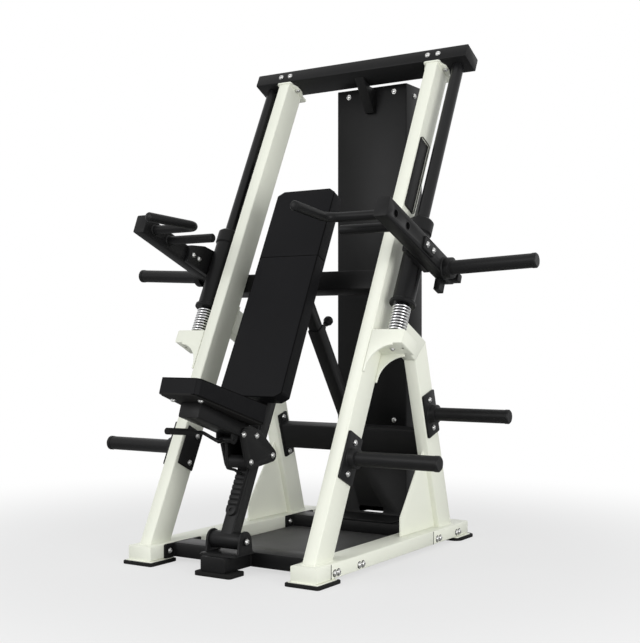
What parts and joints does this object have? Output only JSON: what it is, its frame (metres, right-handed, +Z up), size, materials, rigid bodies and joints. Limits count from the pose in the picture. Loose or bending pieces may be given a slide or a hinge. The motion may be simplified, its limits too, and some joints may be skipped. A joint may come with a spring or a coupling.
{
  "type": "plate-loaded shoulder press machine",
  "caption": "Leaning frame with weight carriages on guide rods, cushioned reclining bench with sliding seat, press handles, plate horns and a rear tower.",
  "frame": {"origin": "centre of the footprint's bounding box, on the floor", "axes": "+Z up; +X towards the left hand of a person who sits on the bench; the sitter faces -Y; the tower stands at +Y"},
  "size_m": [1.74, 1.3716, 1.8863],
  "materials": {
    "cream_powder_coat": "satin cream powder coat with a fine orange peel",
    "black_powder_coat": "satin black powder coat",
    "black_leatherette": "black grained upholstery with sewn seams",
    "chrome": "bright chromed spring wire",
    "zinc_steel": "zinc-plated steel",
    "black_rubber": "matt black rubber",
    "black_nylon": "matt black nylon",
    "black_board": "black-painted plywood",
    "grey_deck": "dark grey textured sheet"
  },
  "bodies": {
    "frame": {"left_base_rail": "cream_powder_coat", "left_front_foot": "black_rubber", "left_rear_foot": "black_rubber", "left_upright": "cream_powder_coat", "left_top_strut": "cream_powder_coat", "left_rear_leg": "cream_powder_coat", "left_spring_bracket": "cream_powder_coat", "left_guide_rod": "black_powder_coat", "left_spring_seat": "cream_powder_coat", "left_spring": "chrome", "left_front_horn": "black_powder_coat", "left_rear_horn": "black_powder_coat", "right_base_rail": "cream_powder_coat", "right_front_foot": "black_rubber", "right_rear_foot": "black_rubber", "right_upright": "cream_powder_coat", "right_top_strut": "cream_powder_coat", "right_rear_leg": "cream_powder_coat", "right_spring_bracket": "cream_powder_coat", "right_guide_rod": "black_powder_coat", "right_spring_seat": "cream_powder_coat", "right_spring": "chrome", "right_front_horn": "black_powder_coat", "right_rear_horn": "black_powder_coat", "front_base_beam": "black_powder_coat", "rear_base_beam": "black_powder_coat", "centre_stub": "black_powder_coat", "centre_foot": "black_rubber", "deck_plate": "grey_deck", "pivot_clevis": "black_powder_coat", "pivot_bolt": "zinc_steel", "crossbar": "black_powder_coat", "upper_cross_beam": "black_powder_coat", "lower_cross_beam": "black_powder_coat", "tower_lower_panel": "black_powder_coat", "tower_upper_panel": "black_powder_coat", "crossbar_brace": "black_powder_coat"},
    "left_carriage": {"left_sleeve": "black_powder_coat", "left_press_arm": "black_powder_coat", "left_front_handle": "black_powder_coat", "left_rear_handle": "black_powder_coat", "left_loading_horn": "black_powder_coat"},
    "right_carriage": {"right_sleeve": "black_powder_coat", "right_press_arm": "black_powder_coat", "right_front_handle": "black_powder_coat", "right_rear_handle": "black_powder_coat", "right_loading_horn": "black_powder_coat"},
    "bench": {"bench_spine": "black_powder_coat", "backrest_board": "black_board", "backrest_cushion": "black_leatherette"},
    "seat": {"seat_frame": "black_powder_coat", "seat_board": "black_board", "seat_cushion": "black_leatherette", "front_guide_bush": "black_nylon", "rear_guide_bush": "black_nylon"},
    "lever": {"release_lever": "black_powder_coat", "lever_grip": "black_rubber"},
    "strut_tube": {"strut_outer": "black_powder_coat"},
    "strut_rod": {"strut_inner": "black_powder_coat"},
    "strut_pin": {"pull_pin": "black_nylon"}
  },
  "joints": [
    {"name": "left_carriage_slide", "type": "slide", "parent": "frame", "child": "left_carriage", "axis": [0, 0.4395, 0.8983], "range_m": [0, 0.65]},
    {"name": "right_carriage_slide", "type": "slide", "parent": "frame", "child": "right_carriage", "axis": [0, 0.4395, 0.8983], "range_m": [0, 0.65]},
    {"name": "bench_tilt", "type": "hinge", "parent": "frame", "child": "bench", "pos_m": [0, -0.4115, 0.10869], "axis": [1, 0, 0], "range_deg": [0, 10]},
    {"name": "strut_swing", "type": "hinge", "parent": "frame", "child": "strut_tube", "pos_m": [0, 0.35901, 0.47519], "axis": [1, 0, 0], "range_deg": [0, 7.3]},
    {"name": "strut_extend", "type": "slide", "parent": "strut_tube", "child": "strut_rod", "axis": [0, -0.5545, 0.8322], "range_m": [0, 0.14623]},
    {"name": "strut_pin_pull", "type": "slide", "parent": "strut_tube", "child": "strut_pin", "axis": [0, 0.8322, 0.5545], "range_m": [0, 0.012], "stiffness_N_per_m": 800},
    {"name": "seat_slide", "type": "slide", "parent": "bench", "child": "seat", "axis": [0, 0.4395, 0.8983], "range_m": [-0.108, 0]},
    {"name": "lever_release", "type": "hinge", "parent": "seat", "child": "lever", "pos_m": [0, -0.42475, 0.444], "axis": [-1, 0, 0], "range_deg": [0, 12], "stiffness_Nm_per_rad": 2}
  ],
  "couplings": [
    {"joint": "strut_swing", "follows": "bench_tilt", "ratio": 0.72827},
    {"joint": "strut_extend", "follows": "bench_tilt", "m_per_rad": 0.83671}
  ]
}
